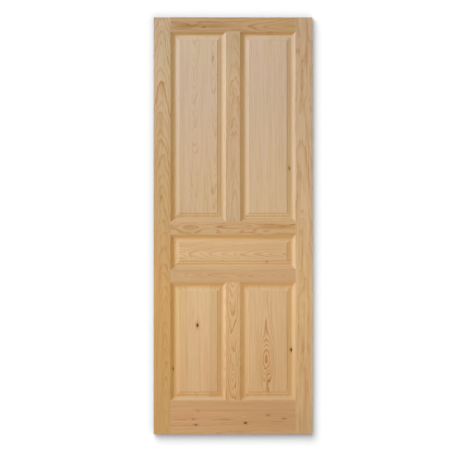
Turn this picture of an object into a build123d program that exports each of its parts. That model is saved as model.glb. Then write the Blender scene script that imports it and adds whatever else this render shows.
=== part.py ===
import os

from build123d import *

# Leaf in millimetres: X runs across from the hinge edge, Y through the thickness, Z up from the bottom edge
door_width = 800.0
door_height = 2100.0
door_thickness = 35.0
arris_radius = 1.0

# Flat face widths of the frame members, between the arrises where their mouldings start
stile_face = 85.0
muntin_face = 71.0
top_rail_face = 72.0
middle_rail_face = 65.0
bottom_rail_face = 170.0

# Clear heights between rail faces: the two upper panels take what is left of the height
middle_opening = 176.0
lower_opening = 595.0

# Cove moulding stuck on every inner edge of the frame, and the panel groove between its two noses
cove_width = 16.5
cove_radius = 45.0
nose_lip = 1.5
groove_width = 10.0
groove_depth = 12.0

# Stub tenons of the rails and muntins, which sit in the groove of the member they meet
tenon_clearance = 0.1
tenon_end_gap = 1.0

# Raised and fielded panels: tongue in the groove, flat margin, sloped step, bevel, step up to the field
tongue_clearance = 0.1
expansion_gap = 3.0
tongue_margin = 10.3
margin_step_width = 2.3
margin_step_rise = 1.4
bevel_width = 13.2
bevel_rise = 3.0
field_step_width = 1.2
field_step_rise = 1.6

# Dowels that pin the joints
dowel_diameter = 12.0
dowel_length = 100.0
dowel_clearance = 0.1
dowel_end_gap = 2.0

nose_half = groove_width / 2 + nose_lip
tenon_width = groove_width - 2 * tenon_clearance
tenon_length = groove_depth - tenon_end_gap
nose_reach = cove_width - groove_depth
bore_radius = dowel_diameter / 2 + dowel_clearance
bore_half_length = dowel_length / 2 + dowel_end_gap

# Face limits of the members across the door
left_stile_high = stile_face
right_stile_low = door_width - stile_face
muntin_low = (door_width - muntin_face) / 2
muntin_high = (door_width + muntin_face) / 2

# Face limits of the members up the door
bottom_rail_high = bottom_rail_face
lower_middle_low = bottom_rail_high + lower_opening
lower_middle_high = lower_middle_low + middle_rail_face
upper_middle_low = lower_middle_high + middle_opening
upper_middle_high = upper_middle_low + middle_rail_face
top_rail_low = door_height - top_rail_face


def member_section(low, high, stuck, slot_width, slot_depth):
    """Cross-section of a frame member, u across its width and v through the door.

    The flat faces run from low to high. Each edge named in stuck carries the moulding on both faces,
    with a slot between its noses: the panel groove, or the outline of a stub tenon that sits in it.
    """
    face_half = door_thickness / 2
    edges = {"low": (low, -1), "high": (high, 1)}
    with BuildSketch() as section:
        with Locations(((low + high) / 2, 0)):
            Rectangle(high - low, door_thickness)
        for side in stuck:
            edge, outward = edges[side]
            nose = edge + outward * cove_width
            with BuildLine():
                RadiusArc((edge, -face_half), (nose, -nose_half), outward * cove_radius)
                Line((nose, -nose_half), (nose, nose_half))
                RadiusArc((nose, nose_half), (edge, face_half), outward * cove_radius)
                Line((edge, face_half), (edge, -face_half))
            make_face()
            with Locations((nose - outward * slot_depth / 2, 0)):
                Rectangle(slot_depth, slot_width, mode=Mode.SUBTRACT)
    return section.sketch


def grooved(low, high, stuck):
    """Section of a member with its panel groove."""
    return member_section(low, high, stuck, groove_width, groove_depth)


def coped(low, high, stuck):
    """Section that a member meeting this one is cut away by, leaving its stub tenon."""
    return member_section(low, high, stuck, tenon_width, tenon_length)


def across(x):
    """Plane square to X, with its own x axis up the door and its own y axis through the thickness."""
    return Plane(origin=(x, 0, 0), x_dir=(0, 0, 1), z_dir=(1, 0, 0))


def dowel_row(low, high, stuck, count):
    """Dowel places across a member, spread evenly over the timber between its edges or groove bottoms."""
    timber_low = low - nose_reach if "low" in stuck else low
    timber_high = high + nose_reach if "high" in stuck else high
    spacing = (timber_high - timber_low) / count
    return [timber_low + spacing * (i + 0.5) for i in range(count)]


def save(part, name):
    """Label a finished piece and write it under its node name."""
    part.label = name
    export_step(part, f"parts/{name}.step")


os.makedirs("parts", exist_ok=True)

# Each rail: face limits, stuck edges and dowels at each end
rails = {
    "top_rail": (top_rail_low, door_height, ["low"], 2),
    "upper_middle_rail": (upper_middle_low, upper_middle_high, ["low", "high"], 2),
    "lower_middle_rail": (lower_middle_low, lower_middle_high, ["low", "high"], 2),
    "bottom_rail": (0, bottom_rail_high, ["high"], 3),
}

# Each stile: face limits and stuck edge
stiles = {
    "left_stile": (0, left_stile_high, ["high"]),
    "right_stile": (right_stile_low, door_width, ["low"]),
}

# Each muntin: the rail below it and the rail above it
muntins = {
    "upper_muntin": ("upper_middle_rail", "top_rail"),
    "lower_muntin": ("bottom_rail", "lower_middle_rail"),
}
muntin_edges = ["low", "high"]
muntin_dowels = dowel_row(muntin_low, muntin_high, muntin_edges, 1)

# The dowels of a joint are centred on the bottom of the groove that it meets
left_joint = left_stile_high + nose_reach
right_joint = right_stile_low - nose_reach

# Stiles run the full height and carry the outer edges of the door
for name, (low, high, stuck) in stiles.items():
    joint = left_joint if name == "left_stile" else right_joint
    outer = 0 if name == "left_stile" else -1
    with BuildPart() as stile:
        with BuildSketch(Plane.XY):
            add(grooved(low, high, stuck))
        extrude(amount=door_height)
        outer_edges = stile.edges().filter_by(Axis.Z).group_by(Axis.X)[outer]
        fillet(outer_edges, radius=arris_radius)
        with BuildSketch(across(joint)):
            for rail_low, rail_high, rail_stuck, count in rails.values():
                with Locations(*[(z, 0) for z in dowel_row(rail_low, rail_high, rail_stuck, count)]):
                    Circle(bore_radius)
        extrude(amount=bore_half_length, both=True, mode=Mode.SUBTRACT)
    save(stile.part, name)

# Rails run between the stiles, coped over their mouldings, with stub tenons in their grooves
for name, (low, high, stuck, count) in rails.items():
    row = dowel_row(low, high, stuck, count)
    with BuildPart() as rail:
        with BuildSketch(across(left_stile_high)):
            add(grooved(low, high, stuck))
        extrude(amount=right_stile_low - left_stile_high)
        with BuildSketch(Plane.XY.offset(low - cove_width)):
            for stile_low, stile_high, stile_stuck in stiles.values():
                add(coped(stile_low, stile_high, stile_stuck))
        extrude(amount=high - low + 2 * cove_width, mode=Mode.SUBTRACT)
        for joint in (left_joint, right_joint):
            with BuildSketch(across(joint)):
                with Locations(*[(z, 0) for z in row]):
                    Circle(bore_radius)
            extrude(amount=bore_half_length, both=True, mode=Mode.SUBTRACT)
        for lower, upper in muntins.values():
            if name in (lower, upper):
                muntin_joint = high + nose_reach if name == lower else low - nose_reach
                with BuildSketch(Plane.XY.offset(muntin_joint)):
                    with Locations(*[(x, 0) for x in muntin_dowels]):
                        Circle(bore_radius)
                extrude(amount=bore_half_length, both=True, mode=Mode.SUBTRACT)
    save(rail.part, name)

    with BuildPart() as dowels:
        for joint in (left_joint, right_joint):
            with BuildSketch(across(joint)):
                with Locations(*[(z, 0) for z in row]):
                    Circle(dowel_diameter / 2)
            extrude(amount=dowel_length / 2, both=True)
    save(dowels.part, f"{name}_dowels")

# Muntins stand between two rails, coped over their mouldings in the same way
for name, (lower, upper) in muntins.items():
    lower_low, lower_high, lower_stuck, _ = rails[lower]
    upper_low, upper_high, upper_stuck, _ = rails[upper]
    joints = (lower_high + nose_reach, upper_low - nose_reach)
    with BuildPart() as muntin:
        with BuildSketch(Plane.XY.offset(lower_high)):
            add(grooved(muntin_low, muntin_high, muntin_edges))
        extrude(amount=upper_low - lower_high)
        with BuildSketch(across(muntin_low - cove_width)):
            add(coped(lower_low, lower_high, lower_stuck))
            add(coped(upper_low, upper_high, upper_stuck))
        extrude(amount=muntin_face + 2 * cove_width, mode=Mode.SUBTRACT)
        for joint in joints:
            with BuildSketch(Plane.XY.offset(joint)):
                with Locations(*[(x, 0) for x in muntin_dowels]):
                    Circle(bore_radius)
            extrude(amount=bore_half_length, both=True, mode=Mode.SUBTRACT)
    save(muntin.part, name)

    with BuildPart() as dowels:
        for joint in joints:
            with BuildSketch(Plane.XY.offset(joint)):
                with Locations(*[(x, 0) for x in muntin_dowels]):
                    Circle(dowel_diameter / 2)
            extrude(amount=dowel_length / 2, both=True)
    save(dowels.part, f"{name}_dowels")

# Each panel: face limits of the opening that it fills, across and up the door
panels = {
    "upper_left_panel": (left_stile_high, muntin_low, upper_middle_high, top_rail_low),
    "upper_right_panel": (muntin_high, right_stile_low, upper_middle_high, top_rail_low),
    "middle_panel": (left_stile_high, right_stile_low, lower_middle_high, upper_middle_low),
    "lower_left_panel": (left_stile_high, muntin_low, bottom_rail_high, lower_middle_low),
    "lower_right_panel": (muntin_high, right_stile_low, bottom_rail_high, lower_middle_low),
}
tongue_inset = nose_reach + expansion_gap
tongue_thickness = groove_width - 2 * tongue_clearance

# Slopes of the raising from the margin to the field: width and rise of each
slopes = [
    (margin_step_width, margin_step_rise),
    (bevel_width, bevel_rise),
    (field_step_width, field_step_rise),
]

# Panels float in the grooves, raised alike on both faces
for name, (left, right, bottom, top) in panels.items():
    width = right - left
    height = top - bottom
    inset = cove_width + tongue_margin
    thickness = tongue_thickness
    with BuildPart() as panel:
        with Locations(((left + right) / 2, 0, (bottom + top) / 2)):
            Box(width - 2 * tongue_inset, tongue_thickness, height - 2 * tongue_inset)
        for slope_width, slope_rise in slopes:
            thickness += 2 * slope_rise
            with BuildPart(mode=Mode.PRIVATE) as layer:
                Box(width - 2 * inset, thickness, height - 2 * inset)
                for face in layer.faces().filter_by(Axis.Y):
                    chamfer(face.edges(), length=slope_width, length2=slope_rise, reference=face)
            with Locations(((left + right) / 2, 0, (bottom + top) / 2)):
                add(layer.part)
            inset += slope_width
    save(panel.part, name)
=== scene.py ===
import bpy
import math
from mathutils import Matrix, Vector


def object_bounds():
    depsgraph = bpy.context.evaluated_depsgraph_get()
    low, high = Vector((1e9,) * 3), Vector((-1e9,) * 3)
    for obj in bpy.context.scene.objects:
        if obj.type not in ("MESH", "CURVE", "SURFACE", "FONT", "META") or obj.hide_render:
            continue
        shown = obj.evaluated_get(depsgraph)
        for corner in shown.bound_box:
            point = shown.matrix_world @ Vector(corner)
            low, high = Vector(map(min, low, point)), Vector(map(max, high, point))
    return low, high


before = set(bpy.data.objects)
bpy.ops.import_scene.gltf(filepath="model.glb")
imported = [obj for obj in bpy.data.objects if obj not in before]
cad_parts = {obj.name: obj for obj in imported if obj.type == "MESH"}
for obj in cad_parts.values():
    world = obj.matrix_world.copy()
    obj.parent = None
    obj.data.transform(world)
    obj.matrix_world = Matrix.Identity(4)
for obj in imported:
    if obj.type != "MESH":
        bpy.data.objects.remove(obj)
cadBox = [list(corner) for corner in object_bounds()]
scene = bpy.context.scene
print("frame loaded:", len(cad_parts), "nodes")


# small helpers for shader trees

white = (1.0, 1.0, 1.0, 1.0)
black = (0.0, 0.0, 0.0, 1.0)
unit = (0.0, 1.0)


def paint(red, green, blue):  # colour as seen on a screen, 0 to 255
    def linear(value):  # the usual screen curve
        value /= 255
        return value / 12.92 if value <= 0.04045 else ((value + 0.055) / 1.055) ** 2.4
    return (linear(red), linear(green), linear(blue), 1.0)


def grey(level):
    return (level, level, level, 1.0)


def fill(tree, slot, value):  # a socket is linked, a number or colour is set
    if isinstance(value, bpy.types.NodeSocket):
        tree.links.new(value, slot)
    else:
        slot.default_value = value


def fillNode(tree, node, values):  # the first sockets of a node, in their order
    for slot, value in zip(node.inputs, values):
        fill(tree, slot, value)
    return node.outputs[0]


def calc(tree, operation, *values):
    node = tree.nodes.new("ShaderNodeMath")
    node.operation = operation
    return fillNode(tree, node, values)


def calcVector(tree, operation, *values):
    node = tree.nodes.new("ShaderNodeVectorMath")
    node.operation = operation
    return fillNode(tree, node, values)


def centred(tree, noise):  # noise that swings about zero
    return calc(tree, "SUBTRACT", noise, 0.5)


def splitVector(tree, vector):
    node = tree.nodes.new("ShaderNodeSeparateXYZ")
    fill(tree, node.inputs[0], vector)
    return node.outputs


def joinVector(tree, *values):
    return fillNode(tree, tree.nodes.new("ShaderNodeCombineXYZ"), values)


def grainNoise(tree, vector, detail, roughness=0.5):
    node = tree.nodes.new("ShaderNodeTexNoise")
    fill(tree, node.inputs["Vector"], vector)
    node.inputs["Scale"].default_value = 1.0
    node.inputs["Detail"].default_value = detail
    node.inputs["Roughness"].default_value = roughness
    return node.outputs[0]


def mapRange(tree, value, span, onto=unit, smooth=False):
    node = tree.nodes.new("ShaderNodeMapRange")
    node.interpolation_type = "SMOOTHSTEP" if smooth else "LINEAR"
    return fillNode(tree, node, (value, *span, *onto))


def ramp(tree, value, stops):  # grey ramp, list of (place, level)
    node = tree.nodes.new("ShaderNodeValToRGB")
    fill(tree, node.inputs[0], value)
    points = node.color_ramp.elements
    while len(points) < len(stops):
        points.new(0.5)
    for point, (place, level) in zip(points, stops):
        point.position = place
        point.color = grey(level)
    return node.outputs[0]


def mixColour(tree, factor, first, second, blend="MIX"):
    node = tree.nodes.new("ShaderNodeMix")
    node.data_type = "RGBA"
    node.blend_type = blend
    fill(tree, node.inputs[0], factor)
    fill(tree, node.inputs[6], first)  # colour A
    fill(tree, node.inputs[7], second)  # colour B
    return node.outputs[2]


def timesColour(tree, first, second):
    return mixColour(tree, 1.0, first, second, "MULTIPLY")


def newGroup(name, inputs, outputs):
    tree = bpy.data.node_groups.new(name, "ShaderNodeTree")
    for label, kind in inputs:
        tree.interface.new_socket(name=label, in_out="INPUT", socket_type="NodeSocket" + kind)
    for label, kind in outputs:
        tree.interface.new_socket(name=label, in_out="OUTPUT", socket_type="NodeSocket" + kind)
    return tree, tree.nodes.new("NodeGroupInput").outputs, tree.nodes.new("NodeGroupOutput").inputs


def useGroup(tree, group, values):
    node = tree.nodes.new("ShaderNodeGroup")
    node.node_tree = group
    for label, value in values.items():
        fill(tree, node.inputs[label], value)
    return node.outputs


def emptyMaterial(name):
    material = bpy.data.materials.new(name)
    material.use_nodes = True
    material.node_tree.nodes.clear()
    return material, material.node_tree


def showSurface(tree, surface):
    output = tree.nodes.new("ShaderNodeOutputMaterial")
    fill(tree, output.inputs["Surface"], surface)


# board space is in millimetres: x across the board, y through it, z along its grain

growthRings = {  # noise is given in waves for each millimetre across, through and along the board
    "wanders": [((0.011, 0.011, 0.0032), 3.0), ((0.05, 0.05, 0.011), 0.9), ((0.1, 0.1, 0.034), 0.42)],
    "wanderDetail": 2.0,  # slow, quick and jagged, each with its share
    "unevenPace": 0.45, "uneven": 1.6,  # how much the years differ in width
    "year": [(0.0, 0.36), (0.1, 0.03), (0.45, 0.08), (0.76, 0.46), (0.93, 1.0), (1.0, 0.36)],
    "figure": [("Fibre", (0.75, 0.75, 0.012), 4.0, 0.6), ("Streak", (0.085, 0.085, 0.0032), 3.0, 0.6),
               ("Cloud", (0.016, 0.016, 0.0028), 3.0, 0.55)],  # stretch, detail and roughness of each
    "canal": ((0.9, 0.9, 0.035), 2.0, 0.6), "canalEdge": (0.64, 0.74),
    "seedSpread": 3.7,
}


def makeRingGroup():
    tree, given, made = newGroup(
        "growth rings",
        [("Board", "Vector"), ("Pith Across", "Float"), ("Pith Depth", "Float"), ("Lean", "Float"),
         ("Level", "Float"), ("Drift", "Float"), ("Spacing", "Float"), ("Wander", "Float"),
         ("Swell", "Float"), ("Seed", "Float")],
        [("Ring", "Float"), ("Year", "Float"), ("Fibre", "Float"), ("Streak", "Float"), ("Cloud", "Float"),
         ("Canal", "Float")])
    spread = calc(tree, "MULTIPLY", given["Seed"], growthRings["seedSpread"])
    apart = joinVector(tree, given["Seed"], spread, 0.0)
    across, depth, along = splitVector(tree, given["Board"])

    def streaks(stretch, detail, roughness=0.5):  # noise drawn out along the grain
        drawn = calcVector(tree, "MULTIPLY", given["Board"], stretch)
        return grainNoise(tree, calcVector(tree, "ADD", drawn, apart), detail, roughness)

    # distance from the leaning pith, bent by slow, quick and jagged wander and by knots
    pithAcross = calc(tree, "MULTIPLY_ADD", along, given["Drift"], given["Pith Across"])
    leaning = calc(tree, "MINIMUM", along, given["Level"])  # past this place the pith runs level
    pithDepth = calc(tree, "MULTIPLY_ADD", leaning, given["Lean"], given["Pith Depth"])
    sideways = calc(tree, "POWER", calc(tree, "SUBTRACT", across, pithAcross), 2.0)
    inwards = calc(tree, "POWER", calc(tree, "SUBTRACT", depth, pithDepth), 2.0)
    radius = calc(tree, "SQRT", calc(tree, "ADD", sideways, inwards))
    for stretch, share in growthRings["wanders"]:
        sway = centred(tree, streaks(stretch, growthRings["wanderDetail"]))
        radius = calc(tree, "MULTIPLY_ADD", sway, calc(tree, "MULTIPLY", given["Wander"], share), radius)
    radius = calc(tree, "ADD", radius, given["Swell"])

    # rings of uneven width: pale early wood, then dark late wood with a sharp outer edge
    phase = calc(tree, "DIVIDE", radius, given["Spacing"])
    pace = calc(tree, "MULTIPLY", phase, growthRings["unevenPace"])
    uneven = grainNoise(tree, joinVector(tree, pace, given["Seed"], 0.0), 1.0)
    phase = calc(tree, "MULTIPLY_ADD", uneven, growthRings["uneven"], phase)
    fill(tree, made["Ring"], ramp(tree, calc(tree, "FRACT", phase), growthRings["year"]))
    year = tree.nodes.new("ShaderNodeTexWhiteNoise")  # some years are darker than others
    year.noise_dimensions = "1D"
    fill(tree, year.inputs["W"], calc(tree, "ADD", calc(tree, "FLOOR", phase), given["Seed"]))
    fill(tree, made["Year"], year.outputs["Value"])

    for label, stretch, detail, roughness in growthRings["figure"]:
        fill(tree, made[label], streaks(stretch, detail, roughness))
    canal = streaks(*growthRings["canal"])  # short dark resin canals
    fill(tree, made["Canal"], mapRange(tree, canal, growthRings["canalEdge"], smooth=True))
    return tree


knotShape = {  # distances are in knot radii
    "rough": (0.3, 0.05, 0.3), "roughDetail": 2.0, "ragged": 0.7,
    "heart": (0.75, 1.25), "halo": (0.7, 3.2), "fall": -0.5,
}


def makeKnotGroup():
    tree, given, made = newGroup(
        "knot",
        [("Board", "Vector"), ("Across", "Float"), ("Along", "Float"), ("Radius", "Float"),
         ("Stretch", "Float")],
        [("Heart", "Float"), ("Halo", "Float"), ("Swell", "Float")])
    place = splitVector(tree, given["Board"])
    sideways = calc(tree, "SUBTRACT", place["X"], given["Across"])
    lengthways = calc(tree, "DIVIDE", calc(tree, "SUBTRACT", place["Z"], given["Along"]), given["Stretch"])
    square = calc(tree, "ADD", calc(tree, "POWER", sideways, 2.0), calc(tree, "POWER", lengthways, 2.0))
    distance = calc(tree, "DIVIDE", calc(tree, "SQRT", square), given["Radius"])
    rough = calcVector(tree, "MULTIPLY", given["Board"], knotShape["rough"])
    rough = centred(tree, grainNoise(tree, rough, knotShape["roughDetail"]))
    ragged = calc(tree, "ADD", distance, calc(tree, "MULTIPLY", rough, knotShape["ragged"]))
    fill(tree, made["Heart"], mapRange(tree, ragged, knotShape["heart"], (1.0, 0.0), smooth=True))
    fill(tree, made["Halo"], mapRange(tree, ragged, knotShape["halo"], (1.0, 0.0), smooth=True))
    fall = calc(tree, "MULTIPLY", calc(tree, "POWER", distance, 2.0), knotShape["fall"])
    fill(tree, made["Swell"], calc(tree, "EXPONENT", fall))
    return tree


mouldedEdges = {
    "cut": (0.5, 3.0),  # millimetres behind the flat face over which a moulding begins
    "plainer": -0.6,  # change in ring strength on mouldings
    # painted light: warm shade tint for mouldings that look down, cool light tint for those that look up
    "upwards": (-0.6, 0.6), "warmShadeDown": (1.05, 0.97, 0.79, 1.0), "coolLightUp": (1.0, 1.03, 1.03, 1.0),
    "rightShare": 0.66, "downShare": -1.0, "paintedStepShade": (0.3, 0.6),
}


def makeEdgeGroup():
    tree, given, made = newGroup(
        "moulded edges",
        [("Depth", "Float"), ("Face", "Float"), ("Facing", "Vector"), ("Amount", "Float")],
        [("Plain", "Float"), ("Tint", "Color"), ("Painted Step Shade", "Float")])
    behind = calc(tree, "SUBTRACT", given["Face"], calc(tree, "ABSOLUTE", given["Depth"]))
    cut = mapRange(tree, behind, mouldedEdges["cut"])
    facing = splitVector(tree, given["Facing"])
    fill(tree, made["Plain"], calc(tree, "MULTIPLY_ADD", cut, mouldedEdges["plainer"], 1.0))

    # painted light: mouldings are tinted warmer than faces, as if in warm shade, most of all those that look
    # down, and cooler where they look up
    upwards = mapRange(tree, facing["Z"], mouldedEdges["upwards"])
    paintedShadeTint = mixColour(tree, upwards, mouldedEdges["warmShadeDown"], mouldedEdges["coolLightUp"])
    fill(tree, made["Tint"], mixColour(tree, cut, white, paintedShadeTint))

    # painted shade: steps that look right or down, away from the near lamp, are darkened
    right = calc(tree, "MULTIPLY", facing["X"], mouldedEdges["rightShare"])
    down = calc(tree, "MULTIPLY", facing["Z"], mouldedEdges["downShare"])
    paintedStepShade = mapRange(tree, calc(tree, "MAXIMUM", right, down), mouldedEdges["paintedStepShade"])
    fill(tree, made["Painted Step Shade"], calc(tree, "MULTIPLY", paintedStepShade, given["Amount"]))
    return tree


planedTimber = {
    "years": (0.55, 1.3),  # ring strength from the faintest year to the darkest
    "fibre": (0.3, 0.7), "fibreShade": (-0.12, 0.12),
    "cloud": (0.32, 0.68), "pink": (1.02, 0.988, 1.02, 1.0), "straw": (0.985, 0.998, 0.94, 1.0),
    "canal": paint(122, 78, 40), "canalShare": 0.16,
    "halo": paint(172, 106, 46), "haloShare": 0.5, "heart": paint(94, 50, 2),
    # colour of the painted shade on the far steps
    "stepShadeColour": paint(120, 70, 28),
    "roughness": (0.54, 0.44),  # early wood, late wood
    "fibreHeight": 0.35, "ringHeight": 0.5, "heartHollow": 0.6,
}


def makeTimberGroup():
    tree, given, made = newGroup(
        "planed timber",
        [("Ring", "Float"), ("Year", "Float"), ("Fibre", "Float"), ("Streak", "Float"), ("Cloud", "Float"),
         ("Canal", "Float"), ("Heart", "Float"), ("Halo", "Float"), ("Pale", "Color"), ("Dark", "Color"),
         ("Ring Strength", "Float"), ("Streak Strength", "Float"), ("Band", "Float"), ("Tone", "Float"),
         ("Tint", "Color"), ("Painted Step Shade", "Float")],
        [("Colour", "Color"), ("Roughness", "Float"), ("Height", "Float")])

    # how much late wood there is, from rings, fibres and streaks
    years = mapRange(tree, given["Year"], unit, planedTimber["years"])
    strength = calc(tree, "MULTIPLY", given["Ring Strength"], years)
    late = calc(tree, "MULTIPLY_ADD", given["Ring"], strength, given["Band"])
    fibre = mapRange(tree, given["Fibre"], planedTimber["fibre"], planedTimber["fibreShade"])
    late = calc(tree, "ADD", late, fibre)
    streak = centred(tree, given["Streak"])
    late = calc(tree, "MULTIPLY_ADD", streak, given["Streak Strength"], late)

    colour = mixColour(tree, late, given["Pale"], given["Dark"])
    hue = mapRange(tree, given["Cloud"], planedTimber["cloud"])
    colour = timesColour(tree, colour, mixColour(tree, hue, planedTimber["pink"], planedTimber["straw"]))
    canal = calc(tree, "MULTIPLY", given["Canal"], planedTimber["canalShare"])
    colour = mixColour(tree, canal, colour, planedTimber["canal"])
    colour = timesColour(tree, colour, joinVector(tree, given["Tone"], given["Tone"], given["Tone"]))
    halo = calc(tree, "MULTIPLY", given["Halo"], planedTimber["haloShare"])
    colour = mixColour(tree, halo, colour, planedTimber["halo"])
    colour = mixColour(tree, given["Heart"], colour, planedTimber["heart"])
    colour = timesColour(tree, colour, given["Tint"])
    # painted shade on the steps that look right or down
    colour = mixColour(tree, given["Painted Step Shade"], colour, planedTimber["stepShadeColour"])
    fill(tree, made["Colour"], colour)
    fill(tree, made["Roughness"], mapRange(tree, late, unit, planedTimber["roughness"]))

    # late wood and fibres stand a little proud, a knot's heart sinks
    ridges = calc(tree, "MULTIPLY", given["Ring"], planedTimber["ringHeight"])
    ridges = calc(tree, "MULTIPLY_ADD", given["Fibre"], planedTimber["fibreHeight"], ridges)
    hollow = calc(tree, "MULTIPLY", given["Heart"], planedTimber["heartHollow"])
    fill(tree, made["Height"], calc(tree, "SUBTRACT", ridges, hollow))
    return tree


rings = makeRingGroup()
knot = makeKnotGroup()
edges = makeEdgeGroup()
timber = makeTimberGroup()
print("shader groups made")


# places are door millimetres: x from the hinge edge, z from the bottom

plainBoard = {  # what holds where a board's own values don't say otherwise
    "level": 9000.0,  # place along the grain past which the pith leans no further
    "drift": 0.0,  # how the pith moves across the board along the grain
    "streak": 0.7,  # strength of soft lengthways streaks
    "paintedStepShade": 0.0,  # painted shade on the far steps
    "staves": [], "staveStep": 0.0,  # glue lines, and how far the pith moves past each
    "tones": [1.0], "tints": [white, white, white],  # one for each stave
    "knots": [],  # x, z, radius, stretch along the grain, darkness, push on the rings
    "eyes": [],  # x, z, half width, stretch along the grain, push on the rings
    "bands": [],  # as eyes, with darkness for the push
    "focus": [],  # as eyes, with more ring strength
    "paintedLightSpots": [],  # as eyes, with painted light added to the tone, painted shade where negative
}
frameBoard = {"face": 17.5}  # flat face, from the middle of the leaf's thickness
# panels take painted shade on their far steps
fieldedPanel = {"face": 10.9, "paintedStepShade": 0.65}
clearMatt = {"bump": 0.25, "bumpDepth": 0.0004, "shine": 0.3}
metreInMillimetres = 1000.0
staveSeed = 7.3  # keeps neighbouring staves from growing alike


def solidTimber(name, ownLook):
    look = {**plainBoard, **ownLook}
    upright = look["grain"] == "up"
    material, tree = emptyMaterial(name)
    coords = tree.nodes.new("ShaderNodeTexCoord").outputs
    turn = tree.nodes.new("ShaderNodeMapping")
    turn.inputs["Scale"].default_value = (metreInMillimetres,) * 3
    if not upright:
        turn.inputs["Rotation"].default_value = (0.0, math.radians(90), 0.0)
    fill(tree, turn.inputs["Vector"], coords["Object"])
    board = turn.outputs["Vector"]
    across, depth, along = splitVector(tree, board)

    def spot(x, z, radius, stretch):
        seat = (x, z) if upright else (z, -x)
        return useGroup(tree, knot, {"Board": board, "Across": seat[0], "Along": seat[1],
                                     "Radius": radius, "Stretch": stretch})

    def addSpots(value, spots):  # soft round or drawn out places that add to a value
        for x, z, wide, stretch, amount in spots:
            value = calc(tree, "MULTIPLY_ADD", spot(x, z, wide, stretch)["Swell"], amount, value)
        return value

    # knots and eyes push the rings aside
    heart = halo = swell = 0.0
    for x, z, radius, stretch, darkness, push in look["knots"]:
        found = spot(x, z, radius, stretch)
        heart = calc(tree, "MAXIMUM", heart, calc(tree, "MULTIPLY", found["Heart"], darkness))
        halo = calc(tree, "MAXIMUM", halo, calc(tree, "MULTIPLY", found["Halo"], darkness))
        swell = calc(tree, "MULTIPLY_ADD", found["Swell"], push, swell)
    swell = addSpots(swell, look["eyes"])
    band = addSpots(0.0, look["bands"])

    # glued staves: each has its own pith, tone and tint
    tones = look["tones"]
    tints = look["tints"]
    tone = tones[0]
    tint = tints[0]
    pithAcross, pithDepth = look["pith"]
    seed = look["seed"]
    for glueLine, before, after, hue in zip(look["staves"], tones, tones[1:], tints[1:]):
        past = calc(tree, "GREATER_THAN", across, glueLine)
        tone = calc(tree, "MULTIPLY_ADD", past, after - before, tone)
        tint = mixColour(tree, past, tint, hue)
        pithAcross = calc(tree, "MULTIPLY_ADD", past, look["staveStep"], pithAcross)
        seed = calc(tree, "MULTIPLY_ADD", past, staveSeed, seed)
    # painted light and shade in soft patches on the tone
    tone = addSpots(tone, look["paintedLightSpots"])

    grown = useGroup(tree, rings, {
        "Board": board, "Pith Across": pithAcross, "Pith Depth": pithDepth, "Lean": look["lean"],
        "Level": look["level"], "Drift": look["drift"], "Spacing": look["spacing"],
        "Wander": look["wander"], "Swell": swell, "Seed": seed})

    pale = paint(*look["pale"])
    dark = paint(*look["dark"])
    strength = look["strength"]
    if "fade" in look:  # from the low colours at one height to the others at the next
        height = mapRange(tree, along if upright else across, look["fade"])
        pale = mixColour(tree, height, paint(*look["lowPale"]), pale)
        dark = mixColour(tree, height, paint(*look["lowDark"]), dark)
        strength = mapRange(tree, height, unit, (look["lowStrength"], strength))
    strength = addSpots(strength, look["focus"])
    edge = useGroup(tree, edges, {"Depth": depth, "Face": look["face"], "Facing": coords["Normal"],
                                  "Amount": look["paintedStepShade"]})
    strength = calc(tree, "MULTIPLY", strength, edge["Plain"])
    # the stave tint times the painted light tint of the mouldings
    tint = timesColour(tree, edge["Tint"], tint)
    finish = useGroup(tree, timber, {
        "Ring": grown["Ring"], "Year": grown["Year"], "Fibre": grown["Fibre"], "Streak": grown["Streak"],
        "Cloud": grown["Cloud"], "Canal": grown["Canal"], "Heart": heart, "Halo": halo, "Pale": pale,
        "Dark": dark, "Ring Strength": strength, "Streak Strength": look["streak"], "Band": band,
        "Tone": tone, "Tint": tint, "Painted Step Shade": edge["Painted Step Shade"]})

    bump = tree.nodes.new("ShaderNodeBump")
    bump.inputs["Strength"].default_value = clearMatt["bump"]
    bump.inputs["Distance"].default_value = clearMatt["bumpDepth"]
    fill(tree, bump.inputs["Height"], finish["Height"])
    shader = tree.nodes.new("ShaderNodeBsdfPrincipled")
    shader.inputs["Specular IOR Level"].default_value = clearMatt["shine"]
    fill(tree, shader.inputs["Base Color"], finish["Colour"])
    fill(tree, shader.inputs["Roughness"], finish["Roughness"])
    fill(tree, shader.inputs["Normal"], bump.outputs["Normal"])
    showSurface(tree, shader.outputs["BSDF"])
    return material


def wear(node, material):  # the node keeps its mesh and takes the finish in its own slot
    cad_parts[node].material_slots[0].material = material
    print("dressed", node)


def dress(node, look):
    kind = fieldedPanel if node.endswith("_panel") else frameBoard
    wear(node, solidTimber(node + " pine", {**kind, **look}))


leftStile = {
    "grain": "up", "seed": 31.0, "pale": (204, 176, 139), "dark": (171, 118, 53), "strength": 0.74,
    "lowPale": (216, 170, 109), "lowDark": (181, 114, 40), "lowStrength": 0.42, "fade": (700, 1900),
    "pith": (66.0, 12.0), "lean": 0.058, "drift": -0.0145, "spacing": 4.2, "wander": 4.6, "streak": 0.9,
    "eyes": [(38, 1975, 12, 5, -6.0), (36, 1170, 10, 5, -5.0)],
    "bands": [(36, 1560, 7, 4, 0.3), (36, 1190, 7, 6, 0.3), (48, 560, 14, 6, 0.1)],
    "paintedLightSpots": [(43, 1230, 60, 4.0, -0.04), (43, 60, 60, 1.6, -0.04), (43, 679, 60, 1.8, 0.04),
               (43, 2040, 60, 1.5, -0.05)],
    "knots": [(101, 330, 4.5, 1.6, 0.8, -3.0)],
}
dress("left_stile", leftStile)

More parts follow.
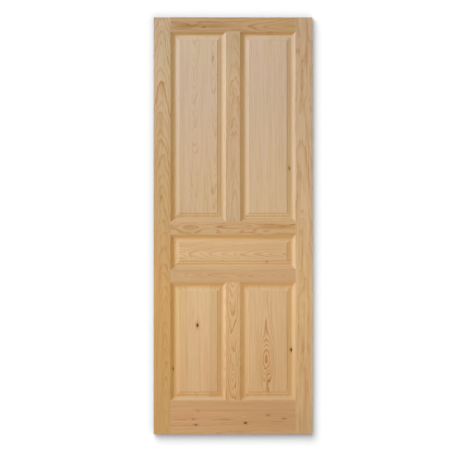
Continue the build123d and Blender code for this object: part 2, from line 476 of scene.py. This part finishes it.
rightStile = {
    "grain": "up", "seed": 2.0, "pale": (201, 172, 140), "dark": (169, 116, 53), "strength": 0.66,
    "lowPale": (223, 186, 139), "lowDark": (187, 125, 53), "lowStrength": 0.26, "fade": (700, 1300),
    "pith": (750.0, 150.0), "lean": 0.012, "spacing": 5.0, "wander": 6.0, "streak": 1.5,
    "eyes": [(745, 1790, 9, 5, -6.0), (738, 1650, 8, 5, -5.0)],
    "bands": [(752, 1845, 8, 5, 0.2), (754, 1694, 9, 6, 0.25), (749, 1014, 4, 4, 0.3), (750, 960, 5, 6, 0.2),
              (751, 432, 4.5, 17, 0.42), (777, 430, 2.2, 8, 0.4), (749, 40, 9, 9, 0.25),
              (771, 1750, 2.0, 150, 0.35), (781, 1250, 1.8, 150, 0.3), (776, 450, 2.0, 150, 0.35),
              (763, 330, 1.8, 120, 0.32), (739, 260, 1.8, 110, 0.32), (731, 560, 1.8, 110, 0.3),
              (790, 640, 1.6, 150, 0.3), (747, 880, 3.0, 22, 0.45)],
    "paintedLightSpots": [(755, 1220, 60, 5.5, 0.13), (755, 2060, 60, 1.4, -0.06), (755, 40, 60, 1.6, -0.14)],
    "knots": [(748, 1122, 3.5, 1.6, 0.25, -7.0)],
}
dress("right_stile", rightStile)

topRail = {
    "grain": "across", "seed": 3.0, "pale": (191, 157, 115), "dark": (160, 105, 42), "strength": 0.55,
    "pith": (2056.0, 85.0), "lean": 0.061, "level": -430.0, "spacing": 7.0, "wander": 5.0,
    "eyes": [(205, 2061, 9, 3, 4.0), (250, 2052, 9, 3, -4.0), (360, 2050, 9, 4, -4.0),
             (600, 2053, 9, 6, -4.0)],
    "bands": [(230, 2079, 2.0, 70, 0.4), (150, 2057, 8, 5, 0.42), (235, 2056, 7, 8, 0.2),
              (310, 2056, 7, 10, 0.5), (690, 2056, 6, 5, 0.3), (240, 2021, 7, 24, 0.1),
              (570, 2021, 7, 20, 0.12)],
    "paintedLightSpots": [(650, 2062, 60, 2.5, 0.05)],
}
dress("top_rail", topRail)

upperMiddleRail = {
    "grain": "across", "seed": 4.0, "pale": (213, 175, 129), "dark": (179, 118, 48), "strength": 0.55,
    "pith": (1040.0, 120.0), "lean": 0.006, "spacing": 6.5, "wander": 5.0,
    "eyes": [(182, 1044, 10, 2.8, -8.0), (412, 1048, 10, 7.5, -9.0), (280, 1028, 7, 5, 4.0),
             (380, 1020, 6, 5, -4.0), (480, 1028, 7, 5, 4.0), (560, 1022, 7, 5, -4.0)],
    "bands": [(182, 1044, 8, 2.7, 0.45), (336, 1046, 6, 3, 0.4), (610, 1040, 7, 12, 0.35)],
}
dress("upper_middle_rail", upperMiddleRail)

lowerMiddleRail = {
    "grain": "across", "seed": 5.0, "pale": (218, 178, 132), "dark": (183, 120, 50), "strength": 0.4,
    "pith": (800.0, 30.0), "lean": 0.045, "level": -60.0, "spacing": 3.2, "wander": 5.0,
    "paintedLightSpots": [(160, 800, 60, 3.0, -0.02), (690, 800, 60, 3.0, -0.03)],
}
dress("lower_middle_rail", lowerMiddleRail)

bottomRail = {
    "grain": "across", "seed": 6.0, "pale": (232, 195, 154), "dark": (195, 132, 59), "strength": 0.25,
    # from 158 to 190 mm up the rail is painted paler: a painted highlight on its top edge and upward-facing
    # cove
    "lowPale": (214, 170, 122), "lowDark": (180, 114, 45), "lowStrength": 0.5, "fade": (158, 190),
    "pith": (-20.0, 160.0), "lean": 0.008, "spacing": 4.0, "wander": 4.5,
    "knots": [(213, 47, 4.0, 2.2, 0.6, -5.0), (463, 57, 4.6, 1.4, 1.0, -7.0), (577, 97, 3.2, 3.0, 0.4, -4.0),
              (657, 79, 3.2, 3.5, 0.42, -4.0), (200, 76, 4, 2.0, 0.32, -5.0), (223, 118, 4, 2.0, 0.2, -2.0)],
    "bands": [(136, 74, 1.6, 20, 0.8), (360, 74, 1.6, 18, 0.8), (620, 62, 1.8, 14, 0.4)],
    "eyes": [(455, 78, 9, 2.0, 6.0), (205, 70, 10, 1.5, 5.0)],
    "paintedLightSpots": [(120, 122, 60, 2.5, 0.04), (690, 90, 90, 2.0, -0.08)],
}
dress("bottom_rail", bottomRail)

upperMuntin = {
    "grain": "up", "seed": 7.0, "pale": (208, 177, 140), "dark": (175, 119, 53), "strength": 0.5,
    "pith": (410.0, 30.0), "lean": 0.035, "spacing": 3.6, "wander": 6.5,
    "bands": [(392, 1567, 5, 4, 0.3), (405, 1365, 5, 5, 0.25)],
    "paintedLightSpots": [(400, 2000, 60, 1.6, -0.13), (400, 1120, 60, 3.0, 0.03)],
}
dress("upper_muntin", upperMuntin)

lowerMuntin = {
    "grain": "up", "seed": 8.0, "pale": (231, 193, 147), "dark": (194, 130, 56), "strength": 0.8,
    "lowPale": (222, 180, 127), "lowDark": (187, 121, 47), "lowStrength": 0.8, "fade": (220, 700),
    "pith": (399.0, 70.0), "lean": -0.05, "spacing": 3.6, "wander": 5.0,
    "eyes": [(398, 329, 9, 3.5, -5.0)],
}
dress("lower_muntin", lowerMuntin)

upperLeftPanel = {
    "grain": "up", "seed": 9.0, "pale": (210, 184, 155), "dark": (176, 124, 60), "strength": 0.36,
    "lowPale": (218, 185, 145), "lowDark": (183, 125, 55), "lowStrength": 0.36, "fade": (1080, 1700),
    "pith": (105.0, 120.0), "lean": -0.045, "spacing": 3.4, "wander": 6.0,
    "staves": [155.0, 262.0], "staveStep": 100.0, "tones": [0.97, 1.0, 1.0],
    "knots": [(299, 1893, 4, 4.5, 0.3, -2.0), (295, 1227, 3.5, 4.5, 0.25, -2.0)],
}
dress("upper_left_panel", upperLeftPanel)

upperRightPanel = {
    "grain": "up", "seed": 10.0, "pale": (210, 185, 159), "dark": (176, 125, 61), "strength": 0.35,
    "lowPale": (220, 190, 152), "lowDark": (185, 128, 58), "lowStrength": 0.35, "fade": (1080, 1700),
    "pith": (400.0, 60.0), "lean": 0.015, "spacing": 5.0, "wander": 5.0,
    "staves": [520.0, 628.0], "staveStep": 95.0, "tones": [1.0, 1.0, 0.98],
    "knots": [(684, 1340, 4, 2.0, 0.6, -3.0)],
}
dress("upper_right_panel", upperRightPanel)

middlePanel = {
    "grain": "across", "seed": 11.0, "pale": (230, 193, 148), "dark": (193, 130, 57), "strength": 0.6,
    "pith": (908.0, 57.0), "lean": 0.05, "spacing": 3.2, "wander": 5.0,
    "knots": [(571, 868, 3.2, 1.6, 0.4, -8.0)],
    "paintedLightSpots": [(150, 924, 90, 2.0, -0.01), (690, 924, 90, 2.2, -0.07)],
}
dress("middle_panel", middlePanel)

lowerLeftPanel = {
    "grain": "up", "seed": 12.0, "pale": (232, 197, 149), "dark": (195, 133, 57), "strength": 0.2,
    "lowPale": (228, 188, 138), "lowDark": (192, 127, 52), "lowStrength": 0.26, "fade": (220, 650),
    "pith": (120.0, 60.0), "lean": 0.012, "spacing": 5.0, "wander": 6.0, "streak": 1.0,
    "staves": [174.0, 281.0], "staveStep": 105.0, "tones": [0.97, 0.99, 0.92],
    "tints": [(1.0, 0.97, 0.92, 1.0), (1.012, 1.0, 1.045, 1.0), (1.0, 0.965, 0.94, 1.0)],
    "knots": [(221, 549, 5, 1.8, 1.0, -5.0)],
}
dress("lower_left_panel", lowerLeftPanel)

lowerRightPanel = {
    "grain": "up", "seed": 13.0, "pale": (229, 193, 150), "dark": (193, 130, 57), "strength": 0.38,
    "lowPale": (223, 184, 137), "lowDark": (187, 124, 52), "lowStrength": 0.45, "fade": (280, 620),
    "pith": (566.0, 90.0), "lean": 0.01, "spacing": 4.6, "wander": 4.5,
    "knots": [(694, 425, 5, 1.6, 1.0, -4.0)],
    "eyes": [(567, 378, 30, 2.4, -21.0), (568, 565, 11, 6, -5.0), (573, 285, 9, 4, 6.0)],
    "bands": [(676, 480, 3, 40, 0.3), (569, 350, 22, 4.0, 0.12)],
    "focus": [(567, 370, 26, 3.2, 0.72), (568, 530, 10, 8, 0.5), (575, 270, 12, 5, 0.4)],
    "paintedLightSpots": [(645, 520, 35, 6.0, -0.04), (500, 320, 30, 4.0, 0.04)],
}
dress("lower_right_panel", lowerRightPanel)

dowelBeech = {
    "grain": "across", "face": 5.0, "seed": 14.0, "pale": (216, 186, 148), "dark": (171, 125, 72),
    "pith": (900.0, 300.0), "lean": 0.0, "spacing": 3.0, "wander": 2.0, "strength": 0.3,
}
beech = solidTimber("dowel beech", dowelBeech)
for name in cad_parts:
    if name.endswith("_dowels"):
        wear(name, beech)


# white wall close behind the door, which only the camera meets, and a pale floor below it

studioWall = {"gap": 0.014, "shade": 0.06, "glow": (0.0, 0.006, 0.014, 1.0)}
studioFloor = {"drop": 0.14, "shade": 0.8, "glow": (0.34, 0.375, 0.44, 1.0)}
studioSize = 14.0
studioMiddle = (0.4, 1.05)  # across and up, behind the door's middle


def whiteShader(tree, shade, glow):  # diffuse white that keeps shadows, with a little light of its own
    plain = tree.nodes.new("ShaderNodeBsdfDiffuse")
    plain.inputs["Color"].default_value = grey(shade)
    light = tree.nodes.new("ShaderNodeEmission")
    light.inputs["Color"].default_value = glow
    both = tree.nodes.new("ShaderNodeAddShader")
    return fillNode(tree, both, (plain.outputs[0], light.outputs[0]))


def mixShader(tree, *values):
    return fillNode(tree, tree.nodes.new("ShaderNodeMixShader"), values)


def stageMaterial(name, look, cameraOnly):
    material, tree = emptyMaterial(name)
    ray = tree.nodes.new("ShaderNodeLightPath").outputs
    front = calc(tree, "SUBTRACT", 1.0, tree.nodes.new("ShaderNodeNewGeometry").outputs["Backfacing"])
    clear = tree.nodes.new("ShaderNodeBsdfTransparent").outputs[0]
    surface = whiteShader(tree, look["shade"], look["glow"])
    if cameraOnly:
        there = calc(tree, "MULTIPLY", ray["Is Camera Ray"], front)
    else:
        there = front
        seen = calc(tree, "MAXIMUM", ray["Is Camera Ray"], ray["Is Glossy Ray"])
        surface = mixShader(tree, seen, whiteShader(tree, look["shade"], black), surface)
    showSurface(tree, mixShader(tree, there, clear, surface))
    return material


def stagePlane(name, place, turn, material):
    bpy.ops.object.select_all(action="DESELECT")
    bpy.ops.mesh.primitive_plane_add(size=studioSize, location=place, rotation=turn)
    plane = bpy.context.object
    plane.name = name
    plane.data.materials.append(material)
    return plane


standing = (math.radians(90), 0.0, 0.0)
lying = (0.0, 0.0, 0.0)
wallY = cadBox[1][1] + studioWall["gap"]
floorZ = cadBox[0][2] - studioFloor["drop"]
wallWhite = stageMaterial("studio wall", studioWall, True)
floorWhite = stageMaterial("studio floor", studioFloor, False)
wall = stagePlane("studioWall", (studioMiddle[0], wallY, studioMiddle[1]), standing, wallWhite)
floor = stagePlane("studioFloor", (studioMiddle[0], 0.0, floorZ), lying, floorWhite)


# a cool lamp near the upper left, a warm side light and a back light for the door
# the wall is lit by two lamps of its own, which cast the door's soft shadow on it

keyLight = {
    "place": (-2.12, -0.98, 2.98), "aim": (0.37, 0.0, 1.6), "size": 0.84, "power": 43.5,
    "colour": (0.5, 1.0, 2.06),
}
sideLight = {"from": (-0.8, -0.6, 0.0), "softness": 60.0, "strength": 1.67, "colour": (1.0, 0.93, 0.79)}
shadowLight = {"from": (-0.4, -1.0, 0.64), "softness": 52.0, "strength": 40.4, "colour": (1.0, 1.0, 1.0)}
haloLight = {"from": (0.17, -1.0, -0.24), "softness": 72.0, "strength": 20.4, "colour": (1.0, 1.0, 1.0)}
backLight = {"from": (0.5, 0.8, 0.3), "softness": 20.0, "strength": 1.95, "colour": (0.82, 0.98, 1.33)}
sunDistance = 4  # only where the lamp's symbol stands
worldLight = {"level": 0.57, "colour": (1.0, 0.86, 0.54, 1.0)}


def addLamp(name, kind, place, outwards, strength, colour):
    bpy.ops.object.light_add(type=kind, location=place)
    lamp = bpy.context.object
    lamp.name = name
    lamp.rotation_mode = "QUATERNION"
    lamp.rotation_quaternion = outwards.to_track_quat("Z", "Y")
    lamp.data.energy = strength
    lamp.data.color = colour
    return lamp


def softSun(name, look):
    outwards = Vector(look["from"])
    lamp = addLamp(name, "SUN", outwards * sunDistance, outwards, look["strength"], look["colour"])
    lamp.data.angle = math.radians(look["softness"])
    return lamp


def lampGroup(name, plane, state):
    group = bpy.data.collections.new(name)
    group.objects.link(plane)
    group.collection_objects[0].light_linking.link_state = state
    return group


offWall = lampGroup("offWall", wall, "EXCLUDE")
wallReach = lampGroup("wallReach", wall, "INCLUDE")
wallBlock = lampGroup("wallBlock", floor, "EXCLUDE")
outwards = Vector(keyLight["place"]) - Vector(keyLight["aim"])
key = addLamp("keyLight", "AREA", keyLight["place"], outwards, keyLight["power"], keyLight["colour"])
key.data.shape = "DISK"
key.data.size = keyLight["size"]
key.light_linking.receiver_collection = offWall
softSun("sideLight", sideLight).light_linking.receiver_collection = offWall
for name, look in (("shadowLight", shadowLight), ("haloLight", haloLight)):
    sun = softSun(name, look)
    sun.light_linking.receiver_collection = wallReach
    sun.light_linking.blocker_collection = wallBlock
softSun("backLight", backLight)

world = bpy.data.worlds.new("studio")
scene.world = world
world.use_nodes = True
sky = world.node_tree.nodes["Background"]
ray = world.node_tree.nodes.new("ShaderNodeLightPath").outputs
seen = calc(world.node_tree, "MAXIMUM", ray["Is Camera Ray"], ray["Is Transmission Ray"])
shine = mapRange(world.node_tree, seen, unit, (worldLight["level"], 1.0))
fill(world.node_tree, sky.inputs["Strength"], shine)
fill(world.node_tree, sky.inputs["Color"], mixColour(world.node_tree, seen, worldLight["colour"], white))
print("studio lit")


# straight-on view: the door's middle sits a little right of and above the middle of the picture

view = {"lens": 300.0, "pixels": 458, "metresPerPixel": 0.005037, "doorMiddle": (233.0, 225.8)}
camera = bpy.data.cameras.new("photoCamera")
camera.lens = view["lens"]
cameraObject = bpy.data.objects.new("photoCamera", camera)
scene.collection.objects.link(cameraObject)
centre = [(low + high) / 2 for low, high in zip(*cadBox)]
half = view["pixels"] / 2
reach = half * view["metresPerPixel"] * camera.lens / (camera.sensor_width / 2)
cameraObject.location = (
    centre[0] - (view["doorMiddle"][0] - half) * view["metresPerPixel"],
    cadBox[0][1] - reach,
    centre[2] + (view["doorMiddle"][1] - half) * view["metresPerPixel"])
cameraObject.rotation_euler = standing
scene.camera = cameraObject
scene.view_settings.view_transform = "Standard"
print("camera set", round(reach, 3), "m from the door")
